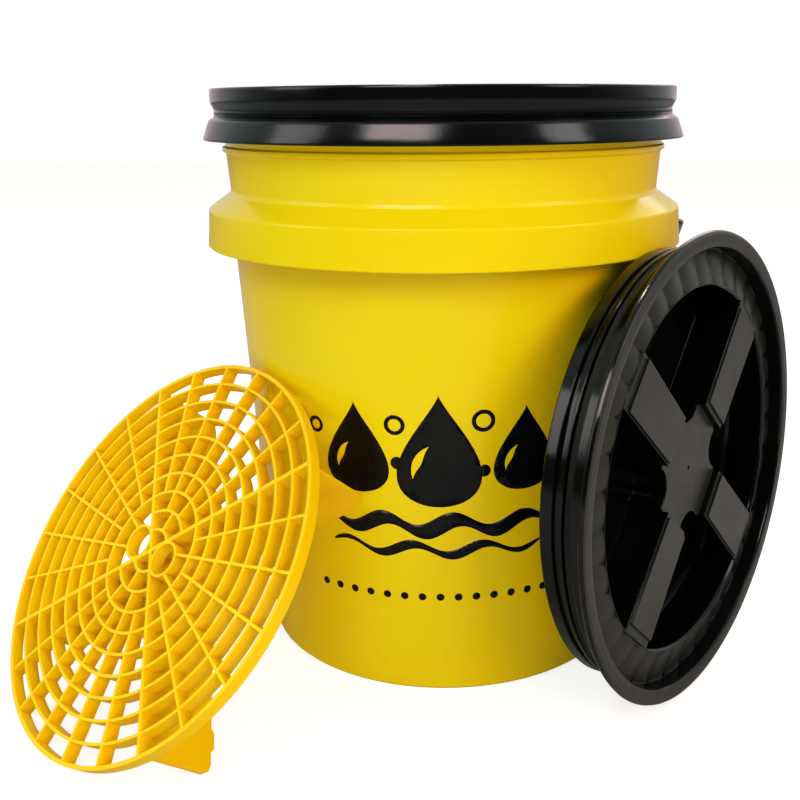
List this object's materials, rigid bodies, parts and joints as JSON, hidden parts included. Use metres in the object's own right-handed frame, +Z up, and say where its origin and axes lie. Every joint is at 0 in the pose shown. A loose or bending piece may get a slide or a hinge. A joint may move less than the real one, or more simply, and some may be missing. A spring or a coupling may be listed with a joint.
{
  "type": "wash bucket",
  "caption": "Car wash bucket with a wire bail, a screw ring, a spin-in lid leaning at one side and a grit guard leaning at the other.",
  "frame": {"origin": "on the floor, on the pail's axis", "axes": "+Z up along the pail's axis; -Y towards the printed front; +X towards the side where the lid leans"},
  "size_m": [0.5517, 0.4388, 0.3864],
  "materials": {
    "yellow_plastic": "glossy moulded polyethylene, dyed yellow",
    "guard_plastic": "semi-gloss moulded polyethylene, dyed yellow",
    "black_plastic": "satin moulded plastic, black",
    "grip_plastic": "smooth matt plastic, black",
    "seal_rubber": "matt rubber, black",
    "bail_steel": "galvanised wire, dull"
  },
  "bodies": {
    "pail": {"bucket_shell": "yellow_plastic", "adapter_ring": "black_plastic", "ring_gasket": "seal_rubber"},
    "bail": {"bail_wire": "bail_steel"},
    "grip": {"bail_grip": "grip_plastic"},
    "lid": {"spin_lid": "black_plastic", "lid_gasket": "seal_rubber"},
    "guard": {"guard_grate": "guard_plastic", "guard_vanes": "guard_plastic"}
  },
  "joints": [
    {"name": "bail_swing", "type": "hinge", "parent": "pail", "child": "bail", "pos_m": [0, 0, 0.296], "axis": [0.9962, -0.0872, 0], "range_deg": [0, 200]},
    {"name": "grip_spin", "type": "hinge", "parent": "bail", "child": "grip", "pos_m": [0.01472, 0.16823, 0.1985], "axis": [0.9962, -0.0872, 0], "continuous": true},
    {"name": "lid_lift", "type": "slide", "parent": "pail", "child": "lid", "axis": [0.7908, -0.6112, 0.0332], "range_m": [0, 0.25]},
    {"name": "guard_lift", "type": "slide", "parent": "pail", "child": "guard", "axis": [-0.5663, -0.5225, 0.6374], "range_m": [0, 0.25]}
  ]
}
